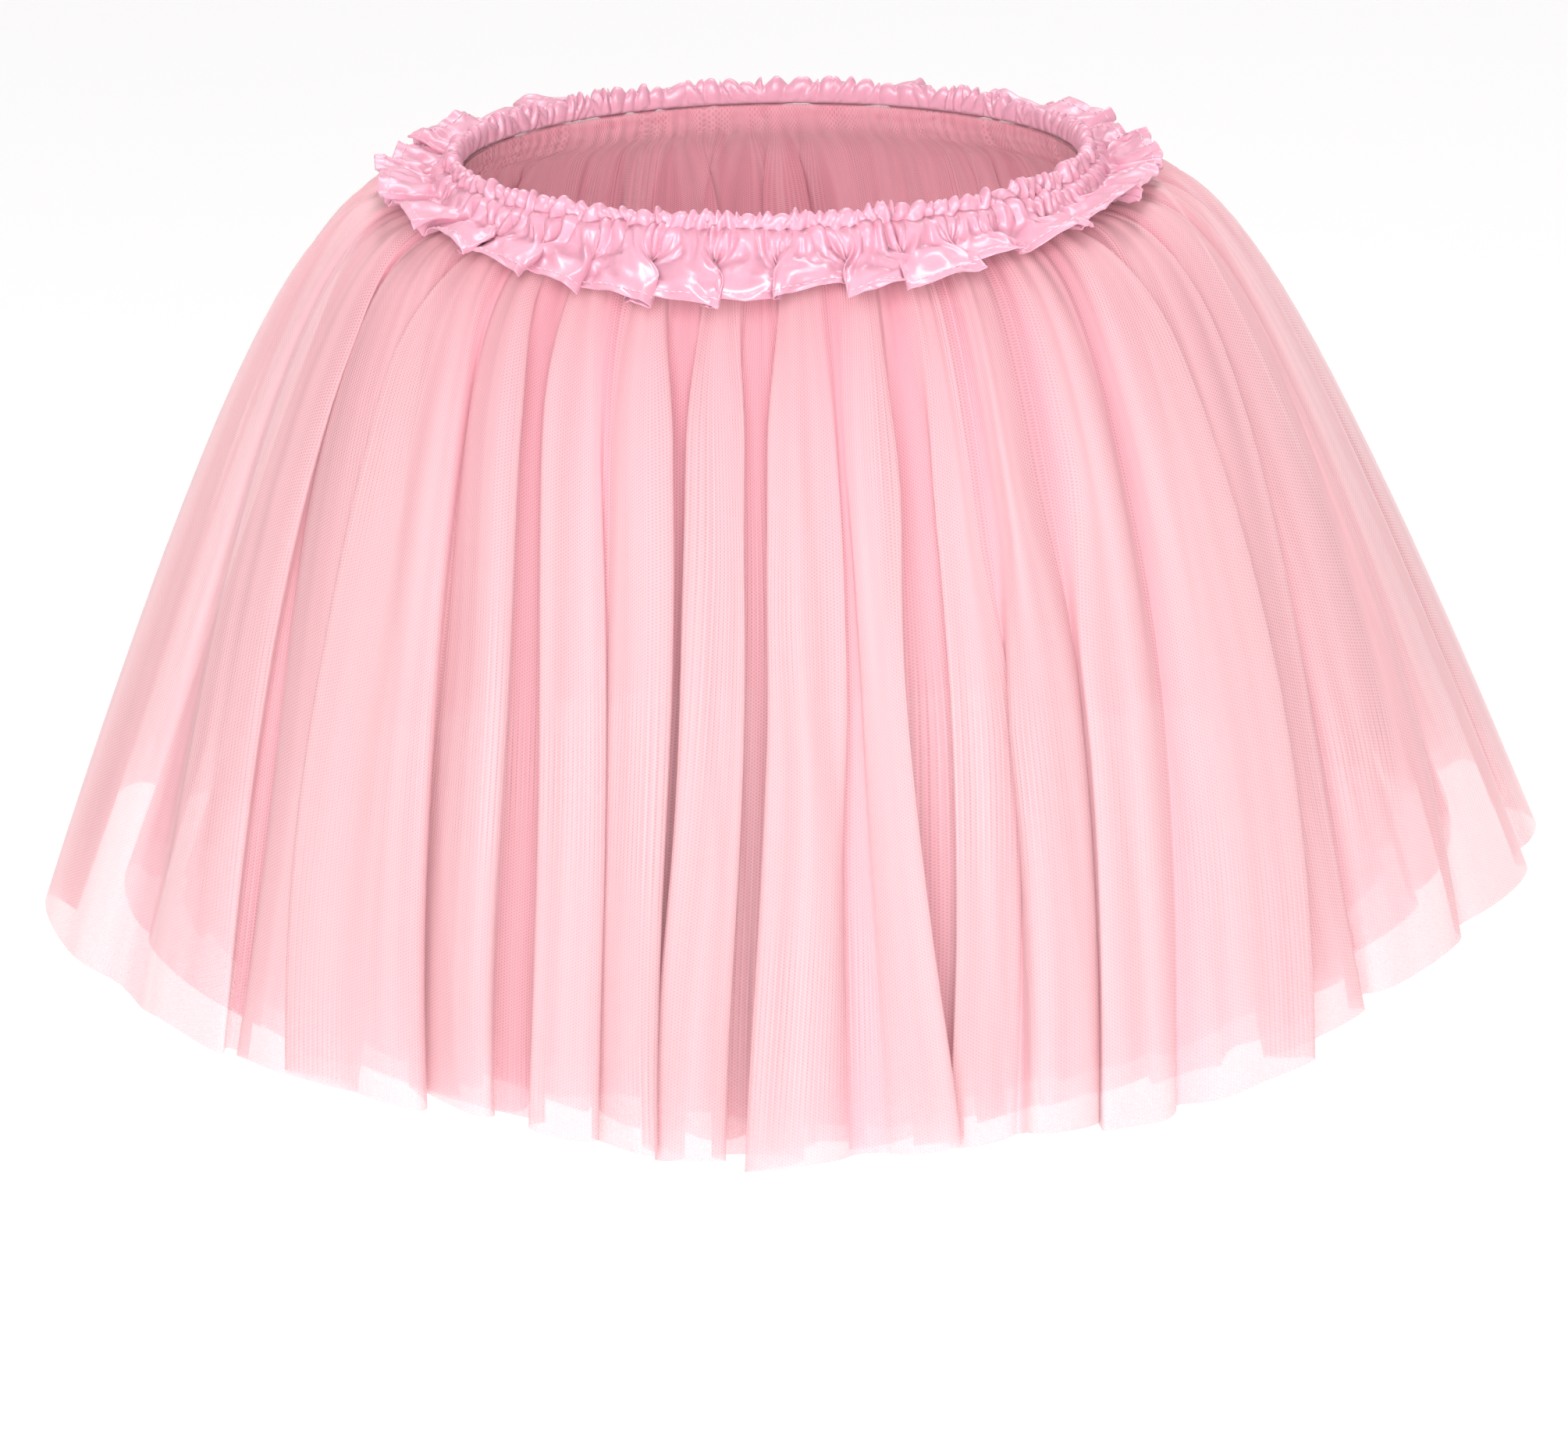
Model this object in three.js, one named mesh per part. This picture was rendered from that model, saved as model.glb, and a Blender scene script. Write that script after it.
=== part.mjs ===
// A child's tulle skirt with a gathered satin waistband, worn and held out in its natural bell.
// Millimetres, +Z up, front towards -Y. The origin is the centre of the waist, halfway up the elastic casing.
// Angles go round the waist in degrees: 0 at the centre front, 90 at the +X hip, 180 at the centre back.
import * as THREE from "three";

// Driving sizes
const waistHalfWidth = 109;
const waistHalfDepth = 84;
const clothWall = 1;
const seamGap = 0.3;
const layerGap = 0.5;
const casingHeight = 8;
const casingDepth = 4.5;
const frillLength = 26;

// How far cloth leans out from straight down, in degrees, at each distance along it from the waist seam
const skirtTilt = [
  { along: 0, front: 0, side: 0, back: 0 },
  { along: 6, front: 40, side: 86, back: 70 },
  { along: 12, front: 46, side: 98, back: 80 },
  { along: 22, front: 43, side: 82, back: 70 },
  { along: 32, front: 36, side: 60, back: 54 },
  { along: 46, front: 29, side: 43, back: 40 },
  { along: 64, front: 23, side: 34, back: 31 },
  { along: 90, front: 19, side: 28, back: 25 },
  { along: 130, front: 17, side: 24, back: 21 },
  { along: 190, front: 16, side: 22, back: 19 },
  { along: 330, front: 15, side: 21, back: 18 },
];
const frillTilt = [
  { along: 0, front: 0, side: 0, back: 0 },
  { along: 6, front: 52, side: 100, back: 86 },
  { along: 12, front: 58, side: 110, back: 94 },
  { along: 40, front: 55, side: 92, back: 84 },
];

// Layers from the outside in. long: the cloth's length; deep: the share of each fold's depth; soon: how early the
// folds deepen, less being earlier; gap: how far the layer hangs inside the surface at the front and the sides;
// turn: how far its folds lie round from the outer layer's
const tulleLayers = [
  { name: "tulle_outer", long: 301, deep: 1, soon: 0.65, gap: { front: 1, side: 2 }, turn: 0 },
  { name: "tulle_middle", long: 292, deep: 0.65, soon: 0.8, gap: { front: 20, side: 23 }, turn: 6 },
  { name: "tulle_inner", long: 286, deep: 0.45, soon: 0.8, gap: { front: 33, side: 40 }, turn: 12 },
];
// Columns in each fold of a layer, and the distances of its rows along the cloth
const layerGrids = {
  tulle_outer: { columns: 6, rows: [0, 7, 20, 36, 66, 130] },
  tulle_middle: { columns: 4, rows: [0, 7, 20, 36, 90] },
  tulle_inner: { columns: 3, rows: [0, 7, 20, 60] },
};
const gapReach = 85;
const foldBreadth = 0.5;
const foldLean = 0.6;

// One row for each fold of the tulle: the angle of its ridge at waist and hem, how far it stands out at the hem,
// how far it leans over for each millimetre of that, positive towards greater angles, and how much lower its hem is
const tulleFolds = [
  { waist: -93, hem: -90, out: 8, lean: -0.4, drop: 8 },
  { waist: -80, hem: -69, out: 10, lean: -0.7, drop: 6 },
  { waist: -67, hem: -57, out: 6, lean: 0.6, drop: 3 },
  { waist: -56, hem: -45, out: 9, lean: 0.8, drop: 1 },
  { waist: -45, hem: -34, out: 12, lean: -1, drop: -3 },
  { waist: -36, hem: -24, out: 11, lean: 1, drop: -8 },
  { waist: -25, hem: -15, out: 5, lean: -0.5, drop: -4 },
  { waist: -14, hem: -8, out: 11, lean: 1, drop: -2 },
  { waist: -2, hem: -2, out: 7, lean: -1, drop: 0 },
  { waist: 10, hem: 9, out: 11, lean: -1, drop: 2 },
  { waist: 21, hem: 18, out: 11, lean: 1, drop: -2 },
  { waist: 30, hem: 26, out: 3, lean: -0.5, drop: 0 },
  { waist: 38, hem: 33, out: 10, lean: -1, drop: 1 },
  { waist: 48, hem: 40, out: 6, lean: 0.4, drop: 4 },
  { waist: 59, hem: 48, out: 11, lean: 0.9, drop: 3 },
  { waist: 69, hem: 57, out: 7, lean: 0.8, drop: -3 },
  { waist: 79, hem: 66, out: 10, lean: 0.6, drop: -8 },
  { waist: 90, hem: 79, out: 7, lean: -0.5, drop: -9 },
  { waist: 102, hem: 94, out: 10, lean: 0.6, drop: -6 },
  { waist: 112, hem: 107, out: 7, lean: -0.8, drop: -2 },
  { waist: 121, hem: 117, out: 12, lean: 0.9, drop: 1 },
  { waist: 133, hem: 131, out: 9, lean: 0.9, drop: -3 },
  { waist: 143, hem: 141, out: 5, lean: -0.7, drop: 2 },
  { waist: 154, hem: 151, out: 12, lean: 0.9, drop: 0 },
  { waist: 167, hem: 166, out: 6, lean: -0.9, drop: 3 },
  { waist: 178, hem: 176, out: 11, lean: -0.8, drop: -2 },
  { waist: 191, hem: 190, out: 8, lean: 0.8, drop: 1 },
  { waist: 202, hem: 204, out: 12, lean: 0.9, drop: 4 },
  { waist: 213, hem: 215, out: 5, lean: -0.5, drop: -1 },
  { waist: 224, hem: 226, out: 11, lean: -0.9, drop: 2 },
  { waist: 236, hem: 240, out: 8, lean: 0.7, drop: 4 },
  { waist: 246, hem: 251, out: 6, lean: -0.6, drop: 7 },
  { waist: 257, hem: 261, out: 10, lean: 0.5, drop: 8 },
];

// One row for each wave of the satin frill: the angle of its ridge, how far it stands out, how far it leans over
// for each millimetre of that, and how far its edge is lifted
const frillWaves = [
  { at: -78, out: 8, lean: -0.4, rise: 0 },
  { at: -61, out: 7, lean: 0.8, rise: -1 },
  { at: -50, out: 7, lean: 1, rise: 0 },
  { at: -39, out: 8, lean: 1, rise: -1 },
  { at: -28, out: 4, lean: 0.5, rise: 1 },
  { at: -19, out: 9, lean: 1.1, rise: -1 },
  { at: -7, out: 9, lean: 1.1, rise: -1 },
  { at: 2, out: 6, lean: 0.4, rise: 0 },
  { at: 12, out: 6, lean: -0.5, rise: 5 },
  { at: 23, out: 8, lean: -1.1, rise: -1 },
  { at: 33, out: 8, lean: 1, rise: -1 },
  { at: 42, out: 7, lean: 0.9, rise: 2 },
  { at: 52, out: 8, lean: 0.9, rise: -1 },
  { at: 66, out: 8, lean: 0.7, rise: 1 },
  { at: 83, out: 8, lean: 0.5, rise: 0 },
  { at: 100, out: 7, lean: -0.6, rise: 3 },
  { at: 115, out: 7, lean: 0.7, rise: 4 },
  { at: 129, out: 8, lean: -0.8, rise: 1 },
  { at: 142, out: 7, lean: 0.9, rise: 0 },
  { at: 155, out: 6, lean: 0.6, rise: 2 },
  { at: 168, out: 9, lean: -1, rise: -1 },
  { at: 182, out: 7, lean: 0.7, rise: 0 },
  { at: 195, out: 8, lean: -0.9, rise: 3 },
  { at: 208, out: 6, lean: 0.6, rise: 0 },
  { at: 221, out: 8, lean: 1, rise: -1 },
  { at: 234, out: 8, lean: -0.8, rise: 1 },
  { at: 248, out: 7, lean: 0.6, rise: 2 },
  { at: 264, out: 7, lean: -0.5, rise: 1 },
];
const frillRows = [0, 7, 15];
const frillGrowth = 0.8;
const frillColumns = 6;
const frillBreadth = 0.4;
const frillLeanShare = 0.7;

// The casing's gathers: small lobes parted by creases, their size rising and falling a few times round the waist
const casingGathers = 60;
const gatherColumns = 3;
const gatherSwell = 0.9;
const gatherLift = 0.7;
const gatherBeats = 7;
const gatherUnevenness = 0.3;
const creaseDepth = -1;
const lobeHeight = 0.6;

// The casing's section, its foot flat: outward in depths of the casing, up in half heights, and how much of the
// gathers' swell and lift each point takes
const casingSection = [
  { out: 0, up: -1, swell: 0, lift: 0 },
  { out: 0, up: -0.2, swell: 1, lift: 0 },
  { out: -0.1, up: 0.7, swell: 0.9, lift: 0.4 },
  { out: -0.5, up: 1, swell: 0, lift: 1 },
  { out: -1, up: 0.6, swell: 0, lift: 0.3 },
  { out: -1, up: -1, swell: 0, lift: 0 },
];

const radians = (degrees) => (degrees * Math.PI) / 180;
const mix = (a, b, share) => a + (b - a) * share;

// Where an angle lies on the waist ring, with the directions out of the ring and along it
function ringAt(angle) {
  const turn = radians(angle);
  const place = new THREE.Vector3(waistHalfWidth * Math.sin(turn), -waistHalfDepth * Math.cos(turn), 0);
  const out = new THREE.Vector3(Math.sin(turn) / waistHalfWidth, -Math.cos(turn) / waistHalfDepth, 0).normalize();
  const along = new THREE.Vector3(-out.y, out.x, 0);
  return { place, out, along };
}

// The share of front, side and back in the skirt's form at an angle
function sharesAt(angle) {
  const ahead = Math.cos(radians(angle));
  const end = ahead * ahead;
  return { front: ahead > 0 ? end : 0, side: 1 - end, back: ahead > 0 ? 0 : end };
}

// A row of a table at a distance, between its neighbours
function rowAt(table, along, column) {
  const next = Math.max(1, table.findIndex((row) => row.along >= along));
  const [a, b] = [table[next - 1], table[next]];
  return mix(a[column], b[column], (along - a.along) / (b.along - a.along));
}

// The profile of cloth that leans as a table says: how far out and down it has gone, millimetre by millimetre
function profileOf(table, column) {
  const points = [{ out: 0, down: 0 }];
  for (let along = 0; along < table.at(-1).along; along += 1) {
    const tilt = radians(rowAt(table, along + 0.5, column));
    const last = points.at(-1);
    points.push({ out: last.out + Math.sin(tilt), down: last.down + Math.cos(tilt) });
  }
  return points;
}

// A surface that leans as a table says, round the whole waist, from the middle of the satin at the seam
function surfaceOf(table) {
  const columns = ["front", "side", "back"];
  const profiles = Object.fromEntries(columns.map((column) => [column, profileOf(table, column)]));
  return (angle, along) => {
    const shares = sharesAt(angle);
    const step = Math.min(Math.floor(along), table.at(-1).along - 1);
    const point = { out: 0, down: 0, tilt: 0 };
    for (const column of columns) {
      const [a, b] = [profiles[column][step], profiles[column][step + 1]];
      point.out += shares[column] * mix(a.out, b.out, along - step);
      point.down += shares[column] * mix(a.down, b.down, along - step);
      point.tilt += shares[column] * radians(rowAt(table, along, column));
    }
    return point;
  };
}

// Columns round a ring of folds: each fold runs from its ridge through a narrower valley to the next ridge.
// Every column has its angle at the waist and hem, how far it stands out and how far that leans, and how much lower
// its hem hangs.
function foldColumns(folds, perFold, breadth, lowest) {
  const columns = [];
  folds.forEach((fold, index) => {
    const last = index === folds.length - 1;
    const next = folds[(index + 1) % folds.length];
    const turn = last ? 360 : 0;
    for (let step = 0; step < perFold; step += 1) {
      const t = step / perFold;
      const spread = t + (breadth / (2 * Math.PI)) * Math.sin(2 * Math.PI * t);
      const ridge = (1 + Math.cos(2 * Math.PI * t)) / 2;
      columns.push({
        waist: mix(fold.waist, next.waist + turn, spread),
        hem: mix(fold.hem, next.hem + turn, spread),
        out: mix(lowest, 1, ridge) * mix(fold.out, next.out, t),
        lean: mix(fold.lean, next.lean, t),
        drop: mix(fold.drop, next.drop, spread),
      });
    }
  });
  return columns;
}

// A closed wall of cloth round the waist, from the points in the middle of it, row by row down the cloth
function wallOf(middle) {
  const rows = middle.length;
  const columns = middle[0].length;
  const at = (row, column) => middle[row][(column + columns) % columns];
  const positions = [];
  for (const side of [1, -1]) {
    for (let row = 0; row < rows; row += 1) {
      for (let column = 0; column < columns; column += 1) {
        const above = at(Math.max(row - 1, 0), column);
        const below = at(Math.min(row + 1, rows - 1), column);
        const down = new THREE.Vector3().subVectors(below, above);
        const round = new THREE.Vector3().subVectors(at(row, column + 1), at(row, column - 1));
        const normal = row === 0 ? middle.seamNormals[column] : down.cross(round).normalize();
        positions.push(...at(row, column).clone().addScaledVector(normal, (side * clothWall) / 2).toArray());
      }
    }
  }
  const outer = (row, column) => row * columns + (column % columns);
  const inner = (row, column) => rows * columns + outer(row, column);
  const faces = [];
  const quad = (a, b, c, d) => faces.push(a, b, c, a, c, d);
  for (let column = 0; column < columns; column += 1) {
    for (let row = 0; row < rows - 1; row += 1) {
      quad(outer(row, column), outer(row + 1, column), outer(row + 1, column + 1), outer(row, column + 1));
      quad(inner(row, column), inner(row, column + 1), inner(row + 1, column + 1), inner(row + 1, column));
    }
    quad(outer(0, column), outer(0, column + 1), inner(0, column + 1), inner(0, column));
    const foot = rows - 1;
    quad(outer(foot, column), inner(foot, column), inner(foot, column + 1), outer(foot, column + 1));
  }
  return solidFrom(positions, faces);
}

function solidFrom(positions, faces) {
  const geometry = new THREE.BufferGeometry();
  geometry.setAttribute("position", new THREE.Float32BufferAttribute(positions, 3));
  geometry.setIndex(faces);
  geometry.computeVertexNormals();
  return geometry;
}

// One sheet of gathered cloth under the casing. Its folds stand out along its own surface's normal, and its last
// row is its edge, which hangs lower in some folds than in others.
function gatheredSheet({ surface, columns, rows, long, growth, leanShare, inset }) {
  const seam = -casingHeight / 2 - seamGap;
  const middle = [...rows, long].map((row) =>
    columns.map((column) => {
      const along = row === long ? long + column.drop : row;
      const grown = growth(row);
      const angle = mix(column.waist, column.hem, row / long);
      const ring = ringAt(angle);
      const { out, down, tilt } = surface(angle, along);
      const stand = column.out * grown - inset(angle, along);
      return ring.place
        .clone()
        .addScaledVector(ring.out, out - clothWall / 2 + stand * Math.cos(tilt))
        .addScaledVector(ring.along, column.out * grown * column.lean * leanShare)
        .add(new THREE.Vector3(0, 0, seam - down + stand * Math.sin(tilt)));
    }),
  );
  middle.seamNormals = columns.map((column) => ringAt(column.waist).out);
  return wallOf(middle);
}

// One layer of tulle; its seat is its place under the frill, 1 for the outermost
function tulleLayer(layer, seat) {
  const { long, turn } = layer;
  const grid = layerGrids[layer.name];
  const seatDepth = seat * (clothWall + layerGap);
  const folds = tulleFolds.map((fold) => ({ ...fold, waist: fold.waist + turn, hem: fold.hem + turn }));
  return gatheredSheet({
    surface: surfaceOf(skirtTilt),
    columns: foldColumns(folds, grid.columns, foldBreadth, -1),
    rows: grid.rows,
    long,
    growth: (along) => layer.deep * (along / long) ** layer.soon,
    leanShare: foldLean,
    inset: (angle, along) => {
      const gap = mix(layer.gap.front, layer.gap.side, sharesAt(angle).side);
      return seatDepth + gap * (1 - Math.exp(-along / gapReach));
    },
  });
}

function waistFrill() {
  const waves = frillWaves.map((wave) => ({ ...wave, waist: wave.at, hem: wave.at, drop: -wave.rise }));
  return gatheredSheet({
    surface: surfaceOf(frillTilt),
    columns: foldColumns(waves, frillColumns, frillBreadth, 0),
    rows: frillRows,
    long: frillLength,
    growth: (along) => (along / frillLength) ** frillGrowth,
    leanShare: frillLeanShare,
    inset: () => 0,
  });
}

// The satin casing round the elastic: a ring with a flat foot, its outside and top swollen into small gathers
function waistCasing() {
  const count = casingGathers * gatherColumns;
  const positions = [];
  for (let column = 0; column < count; column += 1) {
    const ring = ringAt((360 * column) / count);
    const lobe = column % gatherColumns === 0 ? creaseDepth : lobeHeight;
    const size = lobe * (1 + gatherUnevenness * Math.sin((2 * Math.PI * gatherBeats * column) / count));
    for (const point of casingSection) {
      const out = point.out * casingDepth + point.swell * size * gatherSwell;
      const up = (point.up * casingHeight) / 2 + point.lift * size * gatherLift;
      const place = ring.place.clone().addScaledVector(ring.out, out);
      positions.push(place.x, place.y, up);
    }
  }
  const points = casingSection.length;
  const at = (column, point) => (column % count) * points + (point % points);
  const faces = [];
  for (let column = 0; column < count; column += 1) {
    for (let point = 0; point < points; point += 1) {
      const [a, b] = [at(column, point), at(column + 1, point)];
      const [c, d] = [at(column + 1, point + 1), at(column, point + 1)];
      faces.push(a, b, c, a, c, d);
    }
  }
  return solidFrom(positions, faces);
}

const satin = new THREE.MeshStandardMaterial({ color: 0xf4a9c4, roughness: 0.3, metalness: 0 });
const tulle = new THREE.MeshStandardMaterial({
  color: 0xf8c9d2,
  roughness: 0.85,
  metalness: 0,
  transparent: true,
  opacity: 0.45,
  side: THREE.DoubleSide,
});

function piece(name, geometry, material) {
  const mesh = new THREE.Mesh(geometry, material);
  mesh.name = name;
  return mesh;
}

const skirt = new THREE.Group();
skirt.add(piece("waist_casing", waistCasing(), satin));
skirt.add(piece("waist_frill", waistFrill(), satin));
tulleLayers.forEach((layer, index) => {
  skirt.add(piece(layer.name, tulleLayer(layer, index + 1), tulle));
});

export default skirt;
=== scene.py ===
import bisect
import math
import random

import bmesh
import bpy
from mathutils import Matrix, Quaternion, Vector, noise


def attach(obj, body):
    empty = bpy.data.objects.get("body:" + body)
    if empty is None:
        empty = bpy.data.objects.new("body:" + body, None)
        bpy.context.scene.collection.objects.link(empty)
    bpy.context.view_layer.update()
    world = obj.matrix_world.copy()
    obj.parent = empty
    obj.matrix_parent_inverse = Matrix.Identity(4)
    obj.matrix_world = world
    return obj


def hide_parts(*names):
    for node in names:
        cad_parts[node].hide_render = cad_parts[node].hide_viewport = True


# A child's tulle skirt with a gathered satin waistband, in metres, +Z up, front towards -Y.
# Angles go round the waist in degrees: 0 at the centre front, 90 at the +X hip, 180 at the centre back.
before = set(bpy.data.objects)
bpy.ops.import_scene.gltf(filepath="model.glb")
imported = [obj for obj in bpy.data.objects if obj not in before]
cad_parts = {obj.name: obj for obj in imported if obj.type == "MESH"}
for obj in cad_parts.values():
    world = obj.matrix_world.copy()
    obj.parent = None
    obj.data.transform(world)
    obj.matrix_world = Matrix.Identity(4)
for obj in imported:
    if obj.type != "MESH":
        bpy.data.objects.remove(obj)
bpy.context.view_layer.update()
bpy.ops.object.select_all(action="DESELECT")
dice = random.Random(7)
mm = 0.001
fullTurn = 2 * math.pi

waist = {
    "halfWidth": 109,  # millimetres, as all the sizes in these tables
    "halfDepth": 84,
    "casingHeight": 8,
    "casingDepth": 4.5,
    "seamGap": 0.3,
    "layerStep": 1.5,  # from one layer's seat to the next
}

# How far cloth leans out from straight down, in degrees, at each distance along it from the waist seam
skirtTilt = [
    {"along": 0, "front": 0, "side": 0, "back": 0},
    {"along": 6, "front": 40, "side": 86, "back": 70},
    {"along": 12, "front": 46, "side": 98, "back": 80},
    {"along": 22, "front": 43, "side": 82, "back": 70},
    {"along": 32, "front": 36, "side": 60, "back": 54},
    {"along": 46, "front": 29, "side": 43, "back": 40},
    {"along": 64, "front": 23, "side": 34, "back": 31},
    {"along": 90, "front": 19, "side": 28, "back": 25},
    {"along": 130, "front": 17, "side": 24, "back": 21},
    {"along": 190, "front": 16, "side": 22, "back": 19},
    {"along": 330, "front": 15, "side": 21, "back": 18},
]
frillTilt = [
    {"along": 0, "front": 18, "side": 30, "back": 26},
    {"along": 6, "front": 44, "side": 84, "back": 70},
    {"along": 12, "front": 56, "side": 108, "back": 92},
    {"along": 40, "front": 55, "side": 92, "back": 84},
]

# The tulle's main folds. waist and hem: the angle of the ridge; out: how far it stands out at the hem;
# lean: which way it falls over; drop: how much lower its hem is; lap: how far it closes over the next valley,
# where above 1 is closed; under: how far the cloth turns back under the ridge on both sides of that valley
foldNames = ("waist", "hem", "out", "lean", "drop", "lap", "under")
foldTable = [
    (-93, -90, 8, -0.4, 8, 1.4, 0.4),
    (-80, -69, 10, -0.7, 6, 0.5, 0.3),
    (-67, -57, 6, 0.6, 3, 1.9, 1.0),
    (-56, -45, 9, 0.8, 1, 2.3, 0.8),
    (-45, -34, 12, -1, -3, 2.0, 0.3),
    (-36, -24, 11, 1, -8, 0.2, 2.7),
    (-25, -15, 5, -0.5, -4, 1.4, 0.4),
    (-14, -8, 11, 1, -2, 0.5, 2.3),
    (-2, -2, 7, -1, 0, 0.1, 2.7),
    (10, 9, 11, -1, 2, 0.6, 0.3),
    (21, 18, 11, 1, -2, 0.2, 2.5),
    (30, 26, 3, -0.5, 0, 1.7, 0.5),
    (38, 33, 10, -1, 1, 1.9, 0.6),
    (48, 40, 6, 0.4, 4, 0.5, 0.4),
    (59, 48, 11, 0.9, 3, 2.1, 0.8),
    (69, 57, 7, 0.8, -3, 1.2, 0.8),
    (79, 66, 10, 0.6, -8, 0.9, 0.6),
    (90, 79, 7, -0.5, -9, 0.5, 0.4),
    (102, 94, 10, 0.6, -6, 1.2, 0.4),
    (112, 107, 7, -0.8, -2, 0.3, 1.9),
    (121, 117, 12, 0.9, 1, 2.2, 0.7),
    (133, 131, 9, 0.9, -3, 1.5, 0.4),
    (143, 141, 5, -0.7, 2, 0.2, 2.6),
    (154, 151, 12, 0.9, 0, 1.6, 0.6),
    (167, 166, 6, -0.9, 3, 0.4, 0.5),
    (178, 176, 11, -0.8, -2, 2.3, 0.6),
    (191, 190, 8, 0.8, 1, 0.3, 2.5),
    (202, 204, 12, 0.9, 4, 1.4, 0.4),
    (213, 215, 5, -0.5, -1, 1.8, 0.9),
    (224, 226, 11, -0.9, 2, 0.4, 2.0),
    (236, 240, 8, 0.7, 4, 1.3, 0.5),
    (246, 251, 6, -0.6, 7, 0.8, 0.4),
    (257, 261, 10, 0.5, 8, 0.6, 0.3),
]
tulleFolds = [dict(zip(foldNames, row)) for row in foldTable]

# The satin frill's waves, in the same columns; the frill's edge is lifted where its drop is below nothing
waveNames = ("waist", "out", "lean", "drop", "lap")
waveTable = [
    (-78, 8, -0.4, 0, 1.0),
    (-61, 7, 0.8, 1, 1.0),
    (-50, 7, 1, 0, 1.5),
    (-39, 8, 1, 1, 1.6),
    (-28, 4, 0.5, -1, 1.0),
    (-19, 9, 1.1, 1, 1.8),
    (-7, 9, 1.1, 1, 1.8),
    (2, 6, 0.4, 0, 1.2),
    (12, 6, -0.5, -5, 1.2),
    (23, 8, -1.1, 1, 1.6),
    (33, 8, 1, 1, 1.6),
    (42, 7, 0.9, -2, 0.8),
    (52, 8, 0.6, 1, 1.0),
    (66, 8, 0.5, -1, 0.8),
    (83, 8, 0.4, 0, 0.7),
    (100, 7, -0.6, -3, 1.0),
    (115, 7, 0.7, -4, 1.2),
    (129, 8, -0.8, -1, 1.5),
    (142, 7, 0.9, 0, 1.4),
    (155, 6, 0.6, -2, 1.2),
    (168, 9, -1, 1, 1.8),
    (182, 7, 0.7, 0, 1.4),
    (195, 8, -0.9, -3, 1.5),
    (208, 6, 0.6, 0, 1.2),
    (221, 8, 1, 1, 1.7),
    (234, 8, -0.8, -1, 1.5),
    (248, 7, 0.6, -2, 1.2),
    (264, 7, -0.5, -1, 1.0),
]
frillWaves = [dict(zip(waveNames, row)) for row in waveTable]
for wave in frillWaves:
    wave["hem"] = wave["waist"]


def mix(a, b, share):
    return a + (b - a) * share


def soft(low, high, value):  # 0 below low, 1 above high and smooth between them
    share = min(max((value - low) / (high - low), 0), 1)
    return share * share * (3 - 2 * share)


def ringAt(angle):  # where an angle lies on the waist, with the directions out of it and along it
    turn = math.radians(angle)
    place = Vector((waist["halfWidth"] * math.sin(turn), -waist["halfDepth"] * math.cos(turn), 0))
    out = Vector((math.sin(turn) / waist["halfWidth"], -math.cos(turn) / waist["halfDepth"], 0)).normalized()
    return place, out, Vector((-out.y, out.x, 0))


def sharesAt(angle):
    ahead = math.cos(math.radians(angle))
    end = ahead * ahead
    return {"front": end if ahead > 0 else 0, "side": 1 - end, "back": 0 if ahead > 0 else end}


def tiltAt(table, along, column):
    after = next((index for index, row in enumerate(table) if row["along"] >= along), len(table) - 1)
    after = max(after, 1)
    a, b = table[after - 1], table[after]
    return mix(a[column], b[column], (along - a["along"]) / (b["along"] - a["along"]))


def formOf(table):  # how far out and down cloth has gone that leans as a table says, millimetre by millimetre
    profiles = {}
    for column in ("front", "side", "back"):
        steps = [(0, 0, math.radians(tiltAt(table, 0, column)))]
        for along in range(table[-1]["along"]):
            tilt = math.radians(tiltAt(table, along + 0.5, column))
            out, down, _ = steps[-1]
            after = math.radians(tiltAt(table, along + 1, column))
            steps.append((out + math.sin(tilt), down + math.cos(tilt), after))
        profiles[column] = steps

    def form(angle, along):
        shares = sharesAt(angle)
        step = min(int(along), table[-1]["along"] - 1)
        point = [0, 0, 0]
        for column, steps in profiles.items():
            for part in range(3):
                point[part] += shares[column] * mix(steps[step][part], steps[step + 1][part], along - step)
        return point

    return form


def clothPoint(form, angle, along, stand, slide, lifted=1):
    place, out, sideways = ringAt(angle)
    reach, down, tilt = form(angle, along)
    seam = -waist["casingHeight"] / 2 - waist["seamGap"]
    point = place + out * (reach + stand * math.cos(tilt)) + sideways * slide
    point.z = seam - down + stand * math.sin(tilt) * lifted
    return point * mm


def foldAt(folds, place):  # the fold at a place: whole numbers are ridges, halves are the valleys after them
    index = int(place) % len(folds)
    share = place - int(place)
    this, after = folds[index], folds[(index + 1) % len(folds)]
    turn = 360 if index == len(folds) - 1 else 0
    eased = soft(0, 1, share)
    values = {name: mix(this[name], after[name], eased) for name in ("out", "lean", "drop")}
    return this, after, turn, share, values


def meshPiece(name, shape):  # a finished bmesh becomes an object at the origin
    mesh = bpy.data.meshes.new(name)
    shape.to_mesh(mesh)
    shape.free()
    piece = bpy.data.objects.new(name, mesh)
    bpy.context.collection.objects.link(piece)
    return piece


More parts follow.
